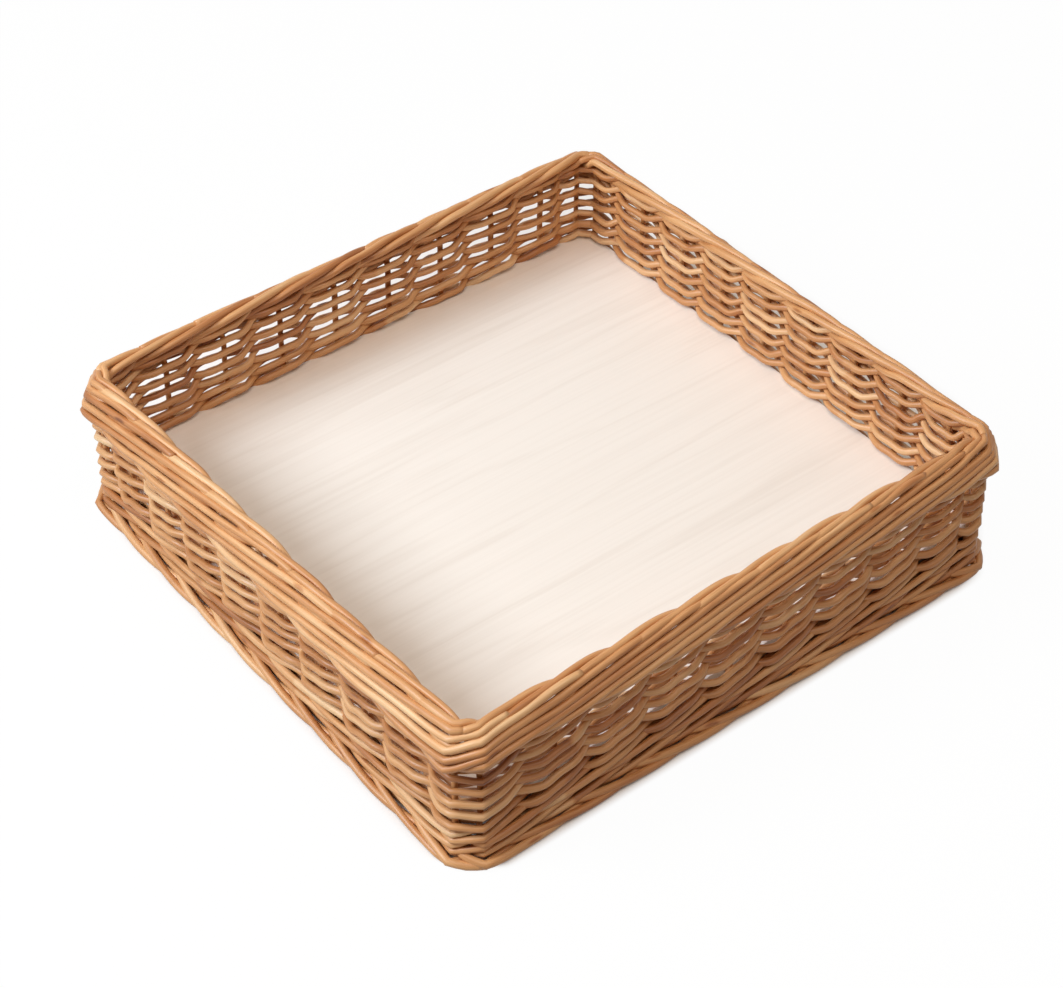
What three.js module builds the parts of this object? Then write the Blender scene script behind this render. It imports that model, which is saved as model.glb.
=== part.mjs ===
// A square willow tray: a plywood base, forty willow rods that are foot, stake and border in one,
// and rows of pairing, two rods twisted round each other between the stakes, under and over the
// base. Millimetres, +Z up, the origin on the floor under the centre.
import * as THREE from 'three';

// Overall size, over the top border
const traySizeX = 300;
const traySizeY = 308;

// Willow rods
const rodRadius = 1.75;
const weaverRadius = 1.5;
const rodSides = 5;
const clearance = 0.3;

// Stakes: a cut corner with a stake at each end, a first step, then an even pitch along the wall.
// The even stakes of each wall stand a little off its middle, as they were set by hand.
const cornerFacet = 10.2;
const cornerStep = 27.7;
const stakesPerWall = 8;
const frontDrift = -4;
const rightDrift = 7;
const backDrift = -8;
const leftDrift = -4;

// Base board
const boardThickness = 4;
const boardMargin = 3.6;
const holeClearance = 0.45;
const holeSides = 6;

// Weave
const rowsUnder = 2;
const rowsOver = 6;
const rowGap = 0.85;
const straightShare = 0.6;
const boardGap = 0.4;

// Borders: how far a rod stands off the stake that it passes, and its bulge outside the wall
const borderStandoff = 1.5;
const borderBulge = 1.3;
const borderSlack = 0.95;
const footStandoff = 1.3;

// Plan of the stakes
const sideReach = 2 * rodRadius + borderStandoff;
const outerReach = sideReach + borderBulge;
const stakeHalfX = traySizeX / 2 - outerReach - rodRadius;
const stakeHalfY = traySizeY / 2 - outerReach - rodRadius;
const cornerCut = cornerFacet / Math.SQRT2;
const cornerMitre = 1 / Math.cos(Math.PI / 8);

// Half the side of a square section with the area of the round weaver that it stands for
const weaverHalf = (weaverRadius * Math.sqrt(Math.PI)) / 2;

// Levels, from the floor up
const bend = 1.5 * rodRadius;
const footLow = rodRadius * Math.cos(Math.PI / rodSides);
const footMid = footLow + 2 * rodRadius + clearance;
const footHigh = footMid + rodRadius + clearance;
const footTop = footHigh + rodRadius;
const twist = weaverHalf + clearance / 2;
const rowHalf = twist + weaverHalf;
const rowPitch = 2 * rowHalf + rowGap;
const underFirst = footTop + clearance + rowHalf;
const boardUnder = underFirst + (rowsUnder - 1) * rowPitch + rowHalf + boardGap;
const boardTop = boardUnder + boardThickness;
const overFirst = boardTop + boardGap + rowHalf;
const weaveTop = overFirst + (rowsOver - 1) * rowPitch + rowHalf;
const borderLow = weaveTop + clearance + rodRadius;
const borderPitch = 2 * rodRadius + borderSlack;
const borderTop = borderLow + 2 * borderPitch;

const willow = new THREE.MeshStandardMaterial({ color: 0xcf9a62, roughness: 0.5, metalness: 0 });
const paleWillow = new THREE.MeshStandardMaterial({ color: 0xdcb27c, roughness: 0.5, metalness: 0 });
const plywood = new THREE.MeshStandardMaterial({ color: 0xf0e8dd, roughness: 0.6, metalness: 0 });

// The four walls, anticlockwise from above: where each starts, its direction and its outward normal
const walls = [
  { along: [1, 0], out: [0, -1], halfAlong: stakeHalfX, halfOut: stakeHalfY, drift: frontDrift },
  { along: [0, 1], out: [1, 0], halfAlong: stakeHalfY, halfOut: stakeHalfX, drift: rightDrift },
  { along: [-1, 0], out: [0, 1], halfAlong: stakeHalfX, halfOut: stakeHalfY, drift: backDrift },
  { along: [0, -1], out: [-1, 0], halfAlong: stakeHalfY, halfOut: stakeHalfX, drift: leftDrift },
].map((wall) => ({
  ...wall,
  along: new THREE.Vector2(...wall.along),
  out: new THREE.Vector2(...wall.out),
}));

// Every place in order round the tray: stakes at whole phases, and halfway between two stakes the
// place where the weaving rods cross. The middle of a cut corner is a half phase with no crossing.
const places = [];
for (const [index, wall] of walls.entries()) {
  const next = walls[(index + 1) % walls.length];
  const before = walls[(index + walls.length - 1) % walls.length];
  const run = 2 * (wall.halfAlong - cornerCut);
  const pitch = (run - 2 * cornerStep) / (stakesPerWall - 1);
  const stakes = [0];
  for (let i = 0; i < stakesPerWall; i += 1) stakes.push(cornerStep + wall.drift + i * pitch);
  stakes.push(run);
  const start = wall.out.clone().multiplyScalar(wall.halfOut)
    .addScaledVector(wall.along, -run / 2);
  stakes.forEach((step, i) => {
    const isFirst = i === 0;
    const isLast = i === stakes.length - 1;
    const isCorner = isFirst || isLast;
    const facet = wall.out.clone().add(isFirst ? before.out : next.out).normalize();
    const normal = isCorner ? facet.add(wall.out).normalize() : wall.out.clone();
    if (!isFirst) {
      const middle = (stakes[i - 1] + step) / 2;
      places.push({
        at: start.clone().addScaledVector(wall.along, middle),
        out: wall.out.clone(),
        isCrossing: true,
      });
    }
    places.push({
      at: start.clone().addScaledVector(wall.along, step),
      out: normal.multiplyScalar(isCorner ? cornerMitre : 1),
      isFirst,
      isLast,
      isCorner,
      isStake: true,
    });
  });
  const corner = places[places.length - 1].at.clone();
  const facetAlong = wall.along.clone().add(next.along).normalize();
  places.push({
    at: corner.addScaledVector(facetAlong, cornerFacet / 2),
    out: wall.out.clone().add(next.out).normalize(),
  });
}
const stakePlaces = places.filter((place) => place.isStake);

const placeAt = (index) => places[(index + places.length) % places.length];

// A point of the wall: half phases from the first stake, reach outwards and level.
function wallPoint(halfPhase, reach, level) {
  const index = Math.floor(halfPhase);
  const share = halfPhase - index;
  const from = placeAt(index);
  const to = placeAt(index + 1);
  const a = from.at.clone().addScaledVector(from.out, reach);
  const b = to.at.clone().addScaledVector(to.out, reach);
  const plan = a.lerp(b, share);
  return new THREE.Vector3(plan.x, plan.y, level);
}

// A point a fixed length past (or, with a minus, before) a stake.
function besideStake(index, length, reach, level) {
  const from = placeAt(index);
  const to = placeAt(index + Math.sign(length));
  const span = from.at.distanceTo(to.at);
  return wallPoint(index + length / span, reach, level);
}

// The closed surface over a row of sections: capped at both ends, or joined up into a loop
function skinSections(sections, isLoop) {
  const count = sections.length;
  const sides = sections[0].length;
  const stretches = isLoop ? count : count - 1;
  const positions = sections.flat().flatMap((point) => [point.x, point.y, point.z]);
  const faces = [];
  const vertex = (i, k) => (i % count) * sides + (k % sides);
  for (let i = 0; i < stretches; i += 1) {
    for (let k = 0; k < sides; k += 1) {
      faces.push(vertex(i, k), vertex(i, k + 1), vertex(i + 1, k + 1));
      faces.push(vertex(i, k), vertex(i + 1, k + 1), vertex(i + 1, k));
    }
  }
  for (let k = 1; k < sides - 1 && !isLoop; k += 1) {
    faces.push(vertex(0, 0), vertex(0, k + 1), vertex(0, k));
    faces.push(vertex(count - 1, 0), vertex(count - 1, k), vertex(count - 1, k + 1));
  }
  const geometry = new THREE.BufferGeometry();
  geometry.setAttribute('position', new THREE.Float32BufferAttribute(positions, 3));
  geometry.setIndex(faces);
  geometry.computeVertexNormals();
  return geometry;
}

// Sweeps a regular section along straight stretches with mitred bends. The section has a flat
// facing down on the stretch that starts at point seed.
function sweepRod(points, radius, sides, seed) {
  const last = points.length - 1;
  const directions = [];
  for (let i = 0; i < last; i += 1) {
    directions.push(points[i + 1].clone().sub(points[i]).normalize());
  }
  const along = directions[seed];
  const down = new THREE.Vector3(0, 0, -1);
  const flat = down.addScaledVector(along, -down.dot(along)).normalize();
  const side = along.clone().cross(flat);
  const middle = points[seed].clone().add(points[seed + 1]).multiplyScalar(0.5);
  const section = [];
  for (let k = 0; k < sides; k += 1) {
    const angle = (2 * Math.PI * (k + 0.5)) / sides;
    section.push(middle.clone()
      .addScaledVector(flat, radius * Math.cos(angle))
      .addScaledVector(side, radius * Math.sin(angle)));
  }
  // A section slid along a stretch to a point, into the plane halfway between its two stretches
  const slide = (from, direction, i) => {
    const before = directions[Math.max(i - 1, 0)];
    const after = directions[Math.min(i, last - 1)];
    const plane = before.clone().add(after).normalize();
    const lean = direction.dot(plane);
    return from.map((point) => {
      const travel = points[i].clone().sub(point).dot(plane) / lean;
      return point.clone().addScaledVector(direction, travel);
    });
  };
  const sections = new Array(points.length);
  let moved = section;
  for (let i = seed + 1; i <= last; i += 1) {
    moved = slide(moved, directions[i - 1], i);
    sections[i] = moved;
  }
  moved = section;
  for (let i = seed; i >= 0; i -= 1) {
    moved = slide(moved, directions[i], i);
    sections[i] = moved;
  }
  return skinSections(sections, false);
}

// A loop of rod with a square section that stays upright all the way round
function uprightLoop(points, half) {
  const up = new THREE.Vector3(0, 0, 1);
  const count = points.length;
  const directionAt = (i) => points[(i + 1) % count].clone().sub(points[i % count]).normalize();
  const sections = points.map((point, i) => {
    const before = directionAt(i + count - 1);
    const after = directionAt(i);
    const plane = before.clone().add(after).normalize();
    const across = plane.clone().cross(up).normalize();
    const rise = across.clone().cross(plane);
    const widen = 1 / across.dot(after.clone().cross(up).normalize());
    return [[1, 1], [-1, 1], [-1, -1], [1, -1]].map(([a, b]) => point.clone()
      .addScaledVector(rise, a * half)
      .addScaledVector(across, b * half * widen));
  });
  return skinSections(sections, true);
}

const tray = new THREE.Group();
function addPiece(name, geometry, material) {
  const piece = new THREE.Mesh(geometry, material);
  piece.name = name;
  tray.add(piece);
  return piece;
}

// Base board, with a hole for every stake
function boardGeometry() {
  const edge = new THREE.Shape();
  const corners = places.filter((place) => place.isCorner)
    .map((place) => place.at.clone().addScaledVector(place.out, boardMargin));
  edge.setFromPoints(corners);
  const holeRadius = rodRadius + holeClearance;
  for (const place of stakePlaces) {
    const hole = [];
    for (let k = 0; k < holeSides; k += 1) {
      const angle = (2 * Math.PI * k) / holeSides;
      const spoke = new THREE.Vector2(Math.cos(angle), Math.sin(angle));
      hole.push(place.at.clone().addScaledVector(spoke, holeRadius));
    }
    edge.holes.push(new THREE.Path(hole));
  }
  return new THREE.ExtrudeGeometry(edge, { depth: boardThickness, bevelEnabled: false });
}
const board = addPiece('base_board', boardGeometry(), plywood);
board.position.z = boardUnder;

// The top border's path past a stake's own bend: half phases on, reach and level
const borderPath = [
  [1, -0.72 * sideReach, borderTop - 0.45 * borderPitch],
  [2, -sideReach, borderTop - 1.2 * borderPitch],
  [3, rodRadius, borderLow],
  [4, sideReach, borderLow],
  [5, outerReach, borderLow + 0.45 * borderPitch],
  [6, outerReach, borderLow + borderPitch],
  [7, 0.82 * outerReach, borderLow + 1.45 * borderPitch],
  [7.6, 0.68 * outerReach, borderLow + 1.72 * borderPitch],
];

// The foot's path, in half phases before the stake that it turns up into
const footReach = 2 * rodRadius + footStandoff;
const footPath = [
  [4, footReach, footHigh],
  [3, footReach + clearance, footMid],
  [2, footReach, footLow],
  [1, 0, footLow],
];
const footFlatStretch = 2;

// One rod: along the foot under the board, up through it as a stake, round the rim as the border
function stakeRod(index) {
  const points = [];
  for (const [before, reach, level] of footPath) points.push(wallPoint(index - before, reach, level));
  points.push(besideStake(index, -bend, 0, footLow));
  points.push(wallPoint(index, 0, footLow + bend));
  points.push(wallPoint(index, 0, borderTop - bend));
  points.push(besideStake(index, bend, -rodRadius / 2, borderTop));
  for (const [after, reach, level] of borderPath) points.push(wallPoint(index + after, reach, level));
  return sweepRod(points, rodRadius, rodSides, footFlatStretch);
}
let stakeCount = 0;
places.forEach((place, index) => {
  if (!place.isStake) return;
  stakeCount += 1;
  const name = `stake_rod_${String(stakeCount).padStart(2, '0')}`;
  addPiece(name, stakeRod(index), willow);
});

// One rod of a pair, a closed ring: by turns outside and inside the stakes, rising along each
// outer stroke, over its fellow where it goes in and under it where it comes out, and on one side
// round a cut corner
function pairingRod(level, startsOutside) {
  const reach = rodRadius + weaverHalf + clearance;
  let side = startsOutside ? 1 : -1;
  const points = [];
  places.forEach((place, index) => {
    if (place.isCrossing) side = -side;
    if (!place.isStake) return;
    const rise = side * twist;
    if (!place.isFirst) points.push(wallPoint(index - straightShare, side * reach, level - rise));
    if (place.isCorner) points.push(wallPoint(index, side * reach, level));
    if (!place.isLast) points.push(wallPoint(index + straightShare, side * reach, level + rise));
  });
  return uprightLoop(points, weaverHalf);
}
function addRows(name, rows, first, material) {
  for (let row = 0; row < rows; row += 1) {
    const level = first + row * rowPitch;
    addPiece(`${name}_${row + 1}_outer_rod`, pairingRod(level, true), material);
    addPiece(`${name}_${row + 1}_inner_rod`, pairingRod(level, false), material);
  }
}
addRows('under_row', rowsUnder, underFirst, willow);
addRows('wall_row', rowsOver, overFirst, paleWillow);

export default tray;
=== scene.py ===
import bisect
import math
import random

import bmesh
import bpy
from mathutils import Matrix, Vector


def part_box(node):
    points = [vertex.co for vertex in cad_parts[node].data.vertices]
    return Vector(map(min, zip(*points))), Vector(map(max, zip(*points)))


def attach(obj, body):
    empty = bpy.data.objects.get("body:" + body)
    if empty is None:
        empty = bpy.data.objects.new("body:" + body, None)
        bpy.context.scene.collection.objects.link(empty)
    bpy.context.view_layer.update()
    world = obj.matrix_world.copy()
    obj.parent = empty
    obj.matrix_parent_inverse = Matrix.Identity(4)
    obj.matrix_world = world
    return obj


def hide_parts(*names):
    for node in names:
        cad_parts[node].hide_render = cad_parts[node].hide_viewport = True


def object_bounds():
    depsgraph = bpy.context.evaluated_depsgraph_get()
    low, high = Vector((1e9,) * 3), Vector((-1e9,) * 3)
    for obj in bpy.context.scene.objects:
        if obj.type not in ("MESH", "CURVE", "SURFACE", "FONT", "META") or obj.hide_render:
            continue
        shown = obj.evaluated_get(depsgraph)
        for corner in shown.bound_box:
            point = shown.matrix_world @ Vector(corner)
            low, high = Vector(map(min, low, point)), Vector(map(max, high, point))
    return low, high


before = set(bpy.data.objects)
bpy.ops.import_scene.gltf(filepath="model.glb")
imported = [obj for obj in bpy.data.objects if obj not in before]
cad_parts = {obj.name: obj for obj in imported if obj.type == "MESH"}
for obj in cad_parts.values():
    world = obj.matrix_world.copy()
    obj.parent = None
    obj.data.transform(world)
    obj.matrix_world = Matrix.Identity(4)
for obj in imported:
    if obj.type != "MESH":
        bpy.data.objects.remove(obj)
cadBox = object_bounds()
scene = bpy.context.scene
scene.view_settings.view_transform = "Standard"
mm = 0.001
hand = random.Random(23)  # the weaver's hand: every small unevenness comes from it
print("frame loaded:", len(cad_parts), "nodes")


# Camera, where the photograph was taken from
photoView = {
    "azimuth": 51.90,  # degrees, from looking along +Y
    "elevation": 41.97,
    "distance": 1.1310,  # metres, from the middle of the tray's foot
    "aside": -0.0013,
    "rise": 0.0155,
    "focalPixels": 2419.6,
    "photoWidth": 1063,
    "sensor": 36.0,
}


def placeCamera():
    turn = math.radians(photoView["azimuth"])
    tilt = math.radians(photoView["elevation"])
    back = Vector((math.sin(turn) * math.cos(tilt), -math.cos(turn) * math.cos(tilt), math.sin(tilt)))
    right = Vector((math.cos(turn), math.sin(turn), 0))
    up = back.cross(right)
    data = bpy.data.cameras.new("photoCamera")
    data.sensor_fit = "HORIZONTAL"
    data.sensor_width = photoView["sensor"]
    data.lens = photoView["focalPixels"] / photoView["photoWidth"] * photoView["sensor"]
    camera = bpy.data.objects.new("photoCamera", data)
    camera.location = back * photoView["distance"] + right * photoView["aside"] + up * photoView["rise"]
    camera.rotation_euler = Matrix((right, up, back)).transposed().to_euler()
    scene.collection.objects.link(camera)
    scene.camera = camera


placeCamera()
print("camera placed")


# Shader maths: a socket that can be added, multiplied and so on
class Wire:
    def __init__(self, finish, socket):
        self.finish = finish
        self.socket = socket

    def __add__(self, other):
        return self.finish.maths("ADD", self, other)

    def __radd__(self, other):
        return self.finish.maths("ADD", other, self)

    def __sub__(self, other):
        return self.finish.maths("SUBTRACT", self, other)

    def __rsub__(self, other):
        return self.finish.maths("SUBTRACT", other, self)

    def __mul__(self, other):
        return self.finish.maths("MULTIPLY", self, other)

    def __rmul__(self, other):
        return self.finish.maths("MULTIPLY", other, self)

    def larger(self, other):
        return self.finish.maths("MAXIMUM", self, other)

    def pingPong(self, scale):
        return self.finish.maths("PINGPONG", self, scale)

    def smoothstep(self, low, high):
        settings = {"interpolation_type": "SMOOTHSTEP"}
        inputs = {"Value": self, "From Min": low, "From Max": high}
        return self.finish.node("ShaderNodeMapRange", settings, inputs)

    # Another output of the same node
    def output(self, name):
        return Wire(self.finish, self.socket.node.outputs[name])


# A material, or the world, made node by node
class Finish:
    def __init__(self, name, owner=None):
        self.owner = owner or bpy.data.materials.new(name)
        self.owner.use_nodes = True
        self.tree = self.owner.node_tree
        self.tree.nodes.clear()

    def node(self, kind, settings=None, inputs=None, output=0):
        made = self.tree.nodes.new(kind)
        for key, value in (settings or {}).items():
            if key == "stops":
                self.setStops(made.color_ramp, value)
            else:
                setattr(made, key, value)
        for key, value in (inputs or {}).items():
            if isinstance(value, Wire):
                self.tree.links.new(value.socket, made.inputs[key])
            else:
                made.inputs[key].default_value = value
        return Wire(self, made.outputs[output]) if made.outputs else None

    def setStops(self, ramp, stops):
        while len(ramp.elements) < len(stops):
            ramp.elements.new(1)
        for element, (place, colour) in zip(ramp.elements, stops):
            element.position = place
            element.color = (*colour, 1)

    def maths(self, operation, first, second):
        return self.node("ShaderNodeMath", {"operation": operation}, {0: first, 1: second})

    def scaled(self, vector, scale):
        return self.node("ShaderNodeVectorMath", {"operation": "MULTIPLY"}, {0: vector, 1: scale})

    def noise(self, vector, scale, detail):
        inputs = {"Vector": self.scaled(vector, scale), "Scale": 1.0, "Detail": detail}
        return self.node("ShaderNodeTexNoise", None, inputs)

    def ramp(self, value, stops):
        return self.node("ShaderNodeValToRGB", {"stops": stops}, {"Fac": value})

    def mixColour(self, share, first, second):
        inputs = {0: share, 6: first, 7: second}  # a Mix node's factor and its two colours
        return self.node("ShaderNodeMix", {"data_type": "RGBA"}, inputs, 2)

    def bump(self, strength, depth, height):
        inputs = {"Strength": strength, "Distance": depth, "Height": height}
        return self.node("ShaderNodeBump", None, inputs)

    def surface(self, inputs):
        shader = self.node("ShaderNodeBsdfPrincipled", None, inputs)
        self.node("ShaderNodeOutputMaterial", None, {"Surface": shader})
        return self.owner


noiseMiddle = 0.5


# Willow: peeled rods boiled to a honey tan, each its own shade, with fibres along it
willowLook = {
    # The stakes' lighter shade is painted light: it stands in for the light that falls on the border they
    # make
    "shades": {"willowStake": 0.62, "willowWale": 0.50, "willowWeaver": 0.56},  # along the stops
    "stops": [
        (0.0, (0.19, 0.051, 0.010)),
        (0.35, (0.46, 0.174, 0.050)),
        (0.65, (0.66, 0.332, 0.132)),
        (1.0, (0.82, 0.535, 0.285)),
    ],
    "patchScale": (22, 240, 240),  # per metre along the rod and across it
    "fibreScale": (70, 2600, 2600),
    "budScale": (30, 130, 130),
    "detail": 3.0,
    "budSize": (0.05, 0.16),  # where a bud's mark starts to fade and where it is gone
    "toneShare": 0.20,  # how far each moves the shade along the stops
    "patchShare": 0.80,
    "fibreShare": 0.45,
    "budShare": 0.35,
    "roughness": 0.30,  # of the smoothest fibre
    "roughSpread": 0.25,
    "bumpStrength": 0.5,
    "bumpDepth": 0.00025,
    "fibreHeight": 0.6,
    "patchHeight": 0.5,
    "budHeight": 0.5,
}


def willowFinish(name):
    look = willowLook
    finish = Finish(name)
    straight = finish.node("ShaderNodeAttribute", {"attribute_name": "straight"}, output="Vector")
    tone = finish.node("ShaderNodeAttribute", {"attribute_name": "tone"}, output="Fac")
    patch = finish.noise(straight, look["patchScale"], look["detail"])
    fibre = finish.noise(straight, look["fibreScale"], look["detail"])
    budPlace = finish.scaled(straight, look["budScale"])
    bud = finish.node("ShaderNodeTexVoronoi", None, {"Vector": budPlace, "Scale": 1.0})
    budMark = 1 - bud.smoothstep(*look["budSize"])
    level = look["shades"][name] + tone * look["toneShare"]
    level += (patch - noiseMiddle) * look["patchShare"] + (fibre - noiseMiddle) * look["fibreShare"]
    level -= budMark * look["budShare"]
    height = fibre * look["fibreHeight"] + patch * look["patchHeight"] + budMark * look["budHeight"]
    return finish.surface({
        "Base Color": finish.ramp(level, look["stops"]),
        "Roughness": look["roughness"] + fibre * look["roughSpread"],
        "Normal": finish.bump(look["bumpStrength"], look["bumpDepth"], height),
    })


# Birch plywood: pale, with fine grain along Y and the broad figure of its year rings
plywoodLook = {
    "pale": (0.905, 0.828, 0.750, 1),
    "line": (0.815, 0.728, 0.645, 1),
    "grainScale": (520, 6, 200),  # per metre
    "grainDetail": 4.0,
    "figureScale": (26, 2.6, 20),
    "figureDetail": 3.0,
    "rings": 14,  # over the range of the figure
    "ringWidth": 0.5,
    "grainShare": 0.9,  # how far each turns the pale wood to the colour of its lines
    "ringShare": 0.22,
    "figureShare": 0.6,
    "lineShare": 0.22,  # the same all over
    "roughness": 0.45,  # of the smoothest grain
    "roughSpread": 0.2,
    "bumpStrength": 0.3,
    "bumpDepth": 0.00012,
}


def plywoodFinish():
    look = plywoodLook
    finish = Finish("birchPlywood")
    place = finish.node("ShaderNodeTexCoord", output="Object")
    grain = finish.noise(place, look["grainScale"], look["grainDetail"])
    figure = finish.noise(place, look["figureScale"], look["figureDetail"])
    rings = (figure * look["rings"]).pingPong(1.0)
    ringLine = 1 - rings.smoothstep(0.0, look["ringWidth"])
    share = (grain - noiseMiddle) * look["grainShare"] + ringLine * look["ringShare"]
    share += (figure - noiseMiddle) * look["figureShare"] + look["lineShare"]
    return finish.surface({
        "Base Color": finish.mixColour(share.smoothstep(0.0, 1.0), look["pale"], look["line"]),
        "Roughness": look["roughness"] + grain * look["roughSpread"],
        "Normal": finish.bump(look["bumpStrength"], look["bumpDepth"], grain),
    })


willowStake = willowFinish("willowStake")
willowWale = willowFinish("willowWale")
willowWeaver = willowFinish("willowWeaver")
birchPlywood = plywoodFinish()
print("finishes made")


# Plan of the stakes, anticlockwise from the first corner of the front wall, in millimetres. Even
# places of a wall are stakes, odd ones are where the weaving rods cross, and the last is the middle
# of a cut corner.
wallNames = ("front", "right", "back", "left")
plan = {
    "border": 8.05,  # from the line of the stakes to the outer face of the border
    "cornerFacet": 10.2,
    "cornerStep": 27.7,  # from a corner's stake to the next one, without the drift
    "stakesPerWall": 8,  # between the two at its corners
    "drift": {"front": -4.0, "right": 9.5, "back": -9.5, "left": -4.0},  # off the wall's middle
}
placesPerWall = 2 * (plan["stakesPerWall"] + 2)
cornerSteps = (0, placesPerWall - 2)  # the first and the last stake of a wall


def layOutStakes():
    halfX = cadBox[1].x / mm - plan["border"]
    halfY = cadBox[1].y / mm - plan["border"]
    cut = plan["cornerFacet"] / math.sqrt(2)
    mitre = 1 / math.cos(math.pi / 8)  # a wall turns by 45 degrees at each end of a cut corner
    laid = []
    for quarter, wall in enumerate(wallNames):
        out = Vector((0, -1)) @ Matrix.Rotation(-quarter * math.pi / 2, 2)
        along = Vector((-out.y, out.x))
        halfAlong, halfOut = (halfX, halfY) if quarter % 2 == 0 else (halfY, halfX)
        run = 2 * (halfAlong - cut)
        pitch = (run - 2 * plan["cornerStep"]) / (plan["stakesPerWall"] - 1)
        first = plan["cornerStep"] + plan["drift"][wall]
        stakes = [0] + [first + i * pitch for i in range(plan["stakesPerWall"])] + [run]
        steps = [0]
        for before, stake in zip(stakes, stakes[1:]):
            steps += [(before + stake) / 2, stake]
        start = out * halfOut - along * run / 2
        leans = dict(zip(cornerSteps, (-along, along)))
        for j, step in enumerate(steps):
            facing = out
            if j in leans:
                facing = ((out + leans[j]).normalized() + out).normalized() * mitre
            laid.append((start + along * step, facing))
        facetAlong = (along - out).normalized()
        middle = laid[-1][0] + facetAlong * plan["cornerFacet"] / 2
        laid.append((middle, (out + along).normalized()))
    return laid


places = layOutStakes()
stakePlaces = [j for j in range(len(places)) if j % placesPerWall % 2 == 0]

# Distances along the line of the stakes, from a round before the first place to a round after the
# last, so that a rod may run past either
distances = [0.0]
for j in range(3 * len(places)):
    gap = places[(j + 1) % len(places)][0] - places[j % len(places)][0]
    distances.append(distances[-1] + gap.length)


def wallAt(place):
    return wallNames[place % len(places) // placesPerWall]


# A point of the wall: its phase, in places, its reach outwards and its level
def wallPoint(phase, reach, level):
    index = math.floor(phase)
    start, startOut = places[index % len(places)]
    end, endOut = places[(index + 1) % len(places)]
    flat = (start + startOut * reach).lerp(end + endOut * reach, phase - index)
    return Vector((flat.x, flat.y, level)) * mm


# Distance along the wall at a phase, and the phase at a distance
def distanceAt(phase):
    shifted = phase + len(places)
    index = math.floor(shifted)
    return distances[index] + (distances[index + 1] - distances[index]) * (shifted - index)


def phaseAt(distance):
    index = bisect.bisect_right(distances, distance) - 1
    return index + (distance - distances[index]) / (distances[index + 1] - distances[index]) - len(places)


rodShape = {
    "bevelSteps": 3,
    "step": 2.2,  # mm between sections
    "fibreShift": 40,  # metres, within which each rod starts its own fibres
}
ringSides = 4 + 2 * rodShape["bevelSteps"]


# A smooth line through points, sampled at an even step: each stretch is a cubic whose slopes at
# its ends follow the points on either side
def smoothLine(points, isRing):
    knots = [Vector(point) for point in points]
    count = len(knots)
    if isRing:
        ahead = Vector((distances[len(places)], 0, 0, 0))  # once round
        knots = [knots[-1] - ahead] + knots + [knots[0] + ahead, knots[1] + ahead]
    else:
        knots = [knots[0] * 2 - knots[1]] + knots + [knots[-1] * 2 - knots[-2]]
    line = []
    for i in range(1, count + 1 if isRing else count):
        before, start, end, after = knots[i - 1:i + 3]
        span = (end - start).xyz.length
        startSlope = ((end - start) / span + (start - before) / (start - before).xyz.length) * span / 2
        endSlope = ((end - start) / span + (after - end) / (after - end).xyz.length) * span / 2
        steps = max(1, round(span / rodShape["step"]))
        for k in range(steps):
            t = k / steps
            line.append(start * (2 * t**3 - 3 * t**2 + 1) + startSlope * (t**3 - 2 * t**2 + t)
                        + end * (3 * t**2 - 2 * t**3) + endSlope * (t**3 - t**2))
    return line if isRing else line + [Vector(points[-1])]


# The mesh of a rod through (phase, reach, level, radius) points, swept by a round bevel
def bendRod(name, points, isRing, tones):
    unrolled = [(distanceAt(phase), reach, level, radius) for phase, reach, level, radius in points]
    line = smoothLine(unrolled, isRing)
    curve = bpy.data.curves.new(name, "CURVE")
    curve.dimensions = "3D"
    curve.bevel_depth = mm
    curve.bevel_resolution = rodShape["bevelSteps"]
    spline = curve.splines.new("POLY")
    spline.points.add(len(line) - 1)
    spline.use_cyclic_u = isRing
    for knot, (distance, reach, level, radius) in zip(spline.points, line):
        knot.co = (*wallPoint(phaseAt(distance), reach, level), 1)
        knot.radius = radius
    bent = bpy.data.objects.new(name, curve)
    scene.collection.objects.link(bent)
    view = bpy.context.evaluated_depsgraph_get()
    mesh = bpy.data.meshes.new_from_object(bent.evaluated_get(view))
    bpy.data.objects.remove(bent)
    bpy.data.curves.remove(curve)
    mesh.name = name
    closeEnds(mesh)
    layStraight(mesh, tones)
    return mesh


# Shades the rod round and closes its cut ends
def closeEnds(mesh):
    work = bmesh.new()
    work.from_mesh(mesh)
    rims = [edge for edge in work.edges if edge.is_boundary]
    for face in work.faces:
        face.smooth = True
    if rims:
        ends = bmesh.ops.holes_fill(work, edges=rims, sides=0)
        for face in ends["faces"]:
            face.smooth = False
    bmesh.ops.recalc_face_normals(work, faces=work.faces)
    work.to_mesh(mesh)
    work.free()


# Gives each point its place on the rod laid out straight, for the fibres, and the tone of its weaver
def layStraight(mesh, tones):
    mesh.attributes.new("straight", "FLOAT_VECTOR", "POINT")
    mesh.attributes.new("tone", "FLOAT", "POINT")
    straight = mesh.attributes["straight"]  # both exist before either is written
    shade = mesh.attributes["tone"]
    offset = hand.uniform(0, rodShape["fibreShift"])
    length = 0.0
    last = None
    rings = len(mesh.vertices) // ringSides
    for ring in range(rings):
        corners = [mesh.vertices[ring * ringSides + k].co for k in range(ringSides)]
        middle = sum(corners, Vector()) / ringSides
        length += (middle - last).length if last else 0
        last = middle
        girth = (corners[0] - middle).length
        for k in range(ringSides):
            turn = 2 * math.pi * k / ringSides
            spot = (length + offset, girth * math.cos(turn) + offset, girth * math.sin(turn))
            straight.data[ring * ringSides + k].vector = spot
            shade.data[ring * ringSides + k].value = tones[ring * len(tones) // rings]


# Adds a piece to the tray, in place of a node of the solids
def addPiece(name, mesh, material, node):
    mesh.materials.append(material)
    piece = bpy.data.objects.new(name, mesh)
    scene.collection.objects.link(piece)
    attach(piece, "root")
    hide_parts(node)


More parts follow.
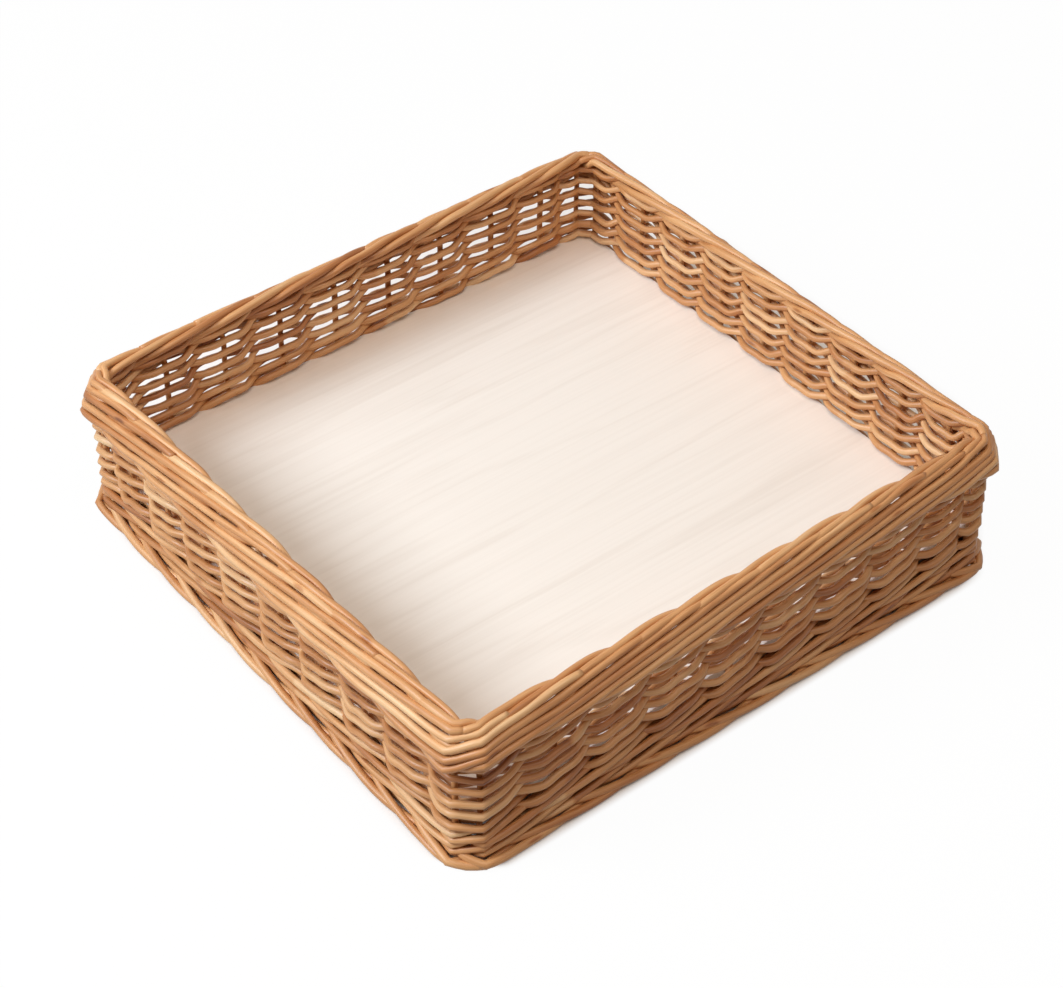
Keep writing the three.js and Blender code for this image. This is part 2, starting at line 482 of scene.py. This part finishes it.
# Base board: a thin sheet that ends just inside the line of the stakes
board = {
    "rim": -1.0,  # mm past the line of the stakes
    "edgeRound": 0.5,
    "edgeSteps": 2,
}


def makeBoard():
    low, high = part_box("base_board")
    work = bmesh.new()
    corners = [j for j in stakePlaces if j % placesPerWall in cornerSteps]
    outline = [work.verts.new(wallPoint(j, board["rim"], low.z / mm)) for j in corners]
    sheet = work.faces.new(outline)
    raised = bmesh.ops.extrude_face_region(work, geom=[sheet])["geom"]
    lifted = [item for item in raised if isinstance(item, bmesh.types.BMVert)]
    bmesh.ops.translate(work, verts=lifted, vec=(0, 0, high.z - low.z))
    bmesh.ops.bevel(work, geom=work.edges[:], offset=board["edgeRound"] * mm, affect="EDGES",
                    segments=board["edgeSteps"], profile=0.5, material=-1)
    bmesh.ops.recalc_face_normals(work, faces=work.faces)
    mesh = bpy.data.meshes.new("plywood_base")
    work.to_mesh(mesh)
    work.free()
    addPiece("plywood_base", mesh, birchPlywood, "base_board")


makeBoard()
print("board laid")


# Willow rods, each along the foot, up past the board as a stake and round the rim as border.
# Points are half pitches from the rod's own stake, reach outwards, level and radius.
stakeRods = {
    "foot": [
        (6.9, 0.9, 1.8, 1.60),
        (5.6, 1.3, 1.8, 1.70),
        (4.8, 3.2, 1.9, 1.75),
        (4.0, 6.0, 1.9, 1.80),
        (3.0, 7.2, 2.0, 1.85),
        (2.0, 6.7, 3.0, 1.85),
        (1.0, 5.0, 4.5, 1.85),
        (0.45, 2.8, 5.4, 1.80),
        (0.12, 0.6, 7.4, 1.70),
    ],
    "leg": [(0, 0, 11, 1.50), (0, 0, 28, 1.40), (0, 0, 45, 1.35), (0, 0, 62, 1.45)],
    "border": [
        (0.12, 0.1, 68.5, 1.65),
        (0.4, 0.3, 72.8, 1.72),
        (1, 0.0, 75.2, 1.76),
        (2, -1.6, 75.5, 1.78),
        (3, -3.6, 75.2, 1.78),
        (3.7, -4.2, 74.3, 1.78),
        (4.3, -3.7, 72.3, 1.76),
        (4.8, -1.4, 69.8, 1.75),
        (5.2, 0.4, 67.4, 1.75),
        (5.7, 1.5, 64.4, 1.75),
        (6.3, 2.8, 61.2, 1.75),
        (7, 5.2, 59.2, 1.76),
        (8, 6.9, 59.2, 1.76),
        (10, 6.1, 63.3, 1.76),
        (12, 4.8, 67.1, 1.75),
        (14, 3.0, 70.9, 1.74),
        (15.2, 1.7, 73.3, 1.72),
        (16.3, 0.6, 75.0, 1.66),
        (16.9, 0.0, 75.0, 1.55),
    ],
    "bend": 1,  # half pitches in which the border still follows its stake
    "outside": 5,  # half pitches after which it is outside the stakes
    "rightLift": 3.2,  # how much higher it runs outside the right wall
    "rightFade": (9, 17),  # half pitches over which that goes down to nothing
    "sway": 0.14,  # unevenness, mm
    "lift": 0.22,
    "slip": 0.08,  # half pitches
    "thickness": 0.06,
    "toneSpread": 0.7,
}


def stakeRodPoints(stake):
    swell = 1 + hand.gauss(0, stakeRods["thickness"])
    lift = hand.gauss(0, stakeRods["lift"])
    slip = hand.gauss(0, stakeRods["slip"])
    fadeStart, fadeEnd = stakeRods["rightFade"]
    points = []
    for part in ("foot", "leg", "border"):
        for phase, reach, level, radius in stakeRods[part]:
            isBorder = part == "border" and phase > stakeRods["bend"]
            isOutside = part == "border" and phase > stakeRods["outside"]
            if part != "foot":
                reach += hand.gauss(0, stakeRods["sway"])
            if isBorder:
                level += lift + hand.gauss(0, stakeRods["sway"])
            if isOutside and wallAt(stake + round(phase)) == "right":
                level += stakeRods["rightLift"] * min(1, (fadeEnd - phase) / (fadeEnd - fadeStart))
            if isBorder:
                phase += slip
            points.append((stake + phase, reach, level, radius * swell))
    return points


def makeStakeRods():
    for number, stake in enumerate(stakePlaces, 1):
        name = f"willow_rod_{number:02d}"
        points = stakeRodPoints(stake)
        tone = hand.gauss(0, stakeRods["toneSpread"])
        mesh = bendRod(name, points, False, [tone])
        addPiece(name, mesh, willowStake, f"stake_rod_{number:02d}")


makeStakeRods()
print("stake rods bent")


# Pairing: two rods to a row, by turns outside and inside the stakes and twisted between them.
# Each row has its levels outside and inside the stakes, for each time that it goes round, the
# radius of its rods and how far an outer stroke rises to either side of its stake.
pairing = {
    "rows": [
        {"name": "under_row_2", "levels": [(20.6, 19.0)], "radius": 1.75, "slant": 1.6},
        {"name": "wall_row_1", "levels": [(28.0, 28.8)], "radius": 1.80, "slant": 1.5, "leftShift": -1.5},
        {"name": "wall_row_2", "levels": [(35.0, 34.8)], "radius": 1.74, "slant": 1.4, "leftShift": -1.3},
        {"name": "wall_row_3", "levels": [(42.3, 41.2)], "radius": 1.64, "slant": 1.3},
        {"name": "wall_row_4", "levels": [(49.3, 47.9)], "radius": 1.62, "slant": 1.3},
        {"name": "wall_row_5", "levels": [(56.3, 54.8)], "radius": 1.62, "slant": 1.3},
        {"name": "wall_row_6", "levels": [(63.2, 61.6), (68.8, 68.0)], "radius": 1.60, "slant": 1.2},
    ],
    "outsideShift": {"back": 2.4},  # how much higher the rows over the board run on a wall
    "insideShift": {"right": 1.4},
    "stakeRadius": 1.35,
    "rise": 0.55,  # half the height between the two rods where they cross, in diameters
    "innerSlant": -0.4,
    "straight": 0.52,  # how far a stroke runs straight either side of its stake, in half pitches
    "dive": 0.25,  # how much nearer the stake line an outer stroke ends, and further off it starts
    "slip": 0.10,
    "sway": 0.12,
    "lift": 0.35,
    "thickness": 0.05,
    "weavers": 7,  # lengths of willow joined to go once round
    "toneSpread": 0.7,
}


def pairingPoints(row, outside, inside, startsOutside):
    points = []
    side = 1 if startsOutside else -1
    rise = pairing["rise"] * 2 * row["radius"]
    isOverBoard = row["name"].startswith("wall")
    for j in stakePlaces:
        wall = wallAt(j)
        levelOut, levelIn = outside, inside
        if isOverBoard:
            levelOut += pairing["outsideShift"].get(wall, 0)
            levelIn += pairing["insideShift"].get(wall, 0)
        if wall == "left":
            levelOut += row.get("leftShift", 0)
        isFirst, isLast = (j % placesPerWall == step for step in cornerSteps)
        radius = row["radius"] * (1 + hand.gauss(0, pairing["thickness"]))
        reach = side * (row["radius"] + pairing["stakeRadius"]) + hand.gauss(0, pairing["sway"])
        level = (levelOut if side > 0 else levelIn) + hand.gauss(0, pairing["lift"])
        slant = row["slant"] if side > 0 else pairing["innerSlant"]
        dive = pairing["dive"] if side > 0 else 0
        slip = hand.gauss(0, pairing["slip"])
        if not isFirst:
            points.append((j - pairing["straight"] + slip, reach + dive, level - slant, radius))
        points.append((j, reach, level, radius))
        if not isLast:
            points.append((j + pairing["straight"] + slip, reach - dive, level + slant, radius))
            points.append((j + 1 + slip / 2, 0, (levelOut + levelIn) / 2 + side * rise, radius))
            side = -side
    return points


def joinedTones(weave):
    return [hand.gauss(0, weave["toneSpread"]) for _ in range(weave["weavers"])]


def makePairing():
    for row in pairing["rows"]:
        isUnder = row["name"].startswith("under")
        material = willowWale if isUnder else willowWeaver
        for turn, (outside, inside) in enumerate(row["levels"], 1):
            for strand in ("outer", "inner"):
                name = f"{row['name']}_{strand}_{turn}"
                points = pairingPoints(row, outside, inside, strand == "outer")
                mesh = bendRod(name, points, True, joinedTones(pairing))
                addPiece(name, mesh, material, f"{row['name']}_{strand}_rod")


makePairing()
print("pairing woven")


# Wales under the board: three rods each, a rod passing inside one stake and then outside two, rising
wale = {
    "levels": [7.2, 13.8],
    "radius": 1.68,
    "turns": [(-1, -1.0), (1, -1.8), (1, 1.8)],  # side of the stake and height over the wale's level
    "crossings": {0: (0.2, -3.4), 2: (0.8, 3.4)},  # reach and height where it comes out and goes in
    "restart": 30,  # stakes from the first to the far corner, where the count of three starts again
    "replaced": ("outer", "inner", "outer"),  # rods of the lowest row that its rods stand in for
    "sway": 0.12,
    "lift": 0.3,
    "slip": 0.12,
    "thickness": 0.06,
    "weavers": 7,
    "toneSpread": 0.7,
}


def walePoints(level, strand):
    points = []
    for number, j in enumerate(stakePlaces):
        turn = ((number - wale["restart"]) % len(stakePlaces) + strand) % len(wale["turns"])
        side, climb = wale["turns"][turn]
        radius = wale["radius"] * (1 + hand.gauss(0, wale["thickness"]))
        reach = side * (wale["radius"] + pairing["stakeRadius"]) + hand.gauss(0, wale["sway"])
        points.append((j, reach, level + climb + hand.gauss(0, wale["lift"]), radius))
        cross = j + 1 + hand.gauss(0, wale["slip"])
        if turn in wale["crossings"]:
            crossReach, crossClimb = wale["crossings"][turn]
            points.append((cross, crossReach, level + crossClimb, radius))
    return points


def makeWales():
    for turn, level in enumerate(wale["levels"], 1):
        for strand, replaced in enumerate(wale["replaced"]):
            name = f"wale_{turn}_rod_{strand + 1}"
            tones = joinedTones(wale)
            mesh = bendRod(name, walePoints(level, strand), True, tones)
            addPiece(name, mesh, willowWale, f"under_row_1_{replaced}_rod")


makeWales()
print("wales woven")


# Pale floor and soft studio light
studio = {
    "floorSize": 6.0,
    "floorColour": (0.95, 0.91, 0.87, 1),
    "bounceColour": (0.45, 0.42, 0.38, 1),  # what the floor throws back on the tray
    "backdropColour": (1, 1, 1, 1),
    "floorGlow": 0.97,  # how much of the floor is plain white to the camera
    # Edges of the part of the floor that keeps the tray's shadow: shares of x and y, where the glow
    # starts and over how much it fades in, in metres
    "shade": [
        (1, 0, 0.1485, 0.006),
        (0, -1, 0.1525, 0.006),
        (1, -1, 0.283, 0.006),
        (0, 1, 0.196, 0.030),
        (-1, 0, 0.200, 0.035),
        (1, 1, 0.276, 0.020),
        (-0.644, -1, 0.220, 0.020),
    ],
    "ambient": 0.16,
    "ambientColour": (1.0, 0.78, 0.58, 1),
    # Place, size in metres, power in watts, colour
    "lights": {
        "key": ((-0.60, -1.30, 1.20), 0.8, 29.5, (0.92, 1.04, 1.17)),
        "top": ((0.35, -0.15, 1.45), 1.1, 10.5, (1.0, 0.95, 0.88)),
    },
}


# One for the rays that show the background, nought for those that light the tray
def seesBackground(finish):
    seen = finish.node("ShaderNodeLightPath", output="Is Camera Ray")
    return seen.larger(seen.output("Is Glossy Ray").larger(seen.output("Is Transmission Ray")))


# One on the shaded part of the floor, nought outside it
def shadedFloor(finish):
    place = finish.node("ShaderNodeTexCoord", output="Object")
    x = finish.node("ShaderNodeSeparateXYZ", None, {"Vector": place}, "X")
    y = x.output("Y")
    inside = 1.0
    for xShare, yShare, limit, fade in studio["shade"]:
        along = x * xShare + y * yShare
        inside = inside * (1 - along.smoothstep(limit, limit + fade))
    return inside


def makeFloor():
    work = bmesh.new()
    bmesh.ops.create_grid(work, x_segments=1, y_segments=1, size=studio["floorSize"] / 2)
    mesh = bpy.data.meshes.new("floor")
    work.to_mesh(mesh)
    work.free()
    finish = Finish("paleFloor")
    seen = seesBackground(finish)
    colour = finish.mixColour(seen, studio["bounceColour"], studio["floorColour"])
    matt = finish.node("ShaderNodeBsdfDiffuse", None, {"Color": colour})
    glow = finish.node("ShaderNodeEmission", None, {"Color": studio["backdropColour"], "Strength": 1.0})
    share = seen * studio["floorGlow"] * (1 - shadedFloor(finish))
    mixed = finish.node("ShaderNodeMixShader", None, {0: share, 1: matt, 2: glow})
    finish.node("ShaderNodeOutputMaterial", None, {"Surface": mixed})
    mesh.materials.append(finish.owner)
    floor = bpy.data.objects.new("floor", mesh)
    scene.collection.objects.link(floor)


def lightStudio():
    world = bpy.data.worlds.new("studio")
    scene.world = world
    finish = Finish("studio", world)
    ambient = {"Color": studio["ambientColour"], "Strength": studio["ambient"]}
    soft = finish.node("ShaderNodeBackground", None, ambient)
    backdrop = {"Color": studio["backdropColour"], "Strength": 1.0}
    white = finish.node("ShaderNodeBackground", None, backdrop)
    mixed = finish.node("ShaderNodeMixShader", None, {0: seesBackground(finish), 1: soft, 2: white})
    finish.node("ShaderNodeOutputWorld", None, {"Surface": mixed})
    for name, (place, size, power, colour) in studio["lights"].items():
        data = bpy.data.lights.new(name, "AREA")
        data.energy = power
        data.size = size
        data.color = colour
        light = bpy.data.objects.new(name, data)
        light.location = place
        light.rotation_euler = (-light.location).to_track_quat("-Z", "Y").to_euler()
        scene.collection.objects.link(light)


makeFloor()
lightStudio()
print("studio lit")
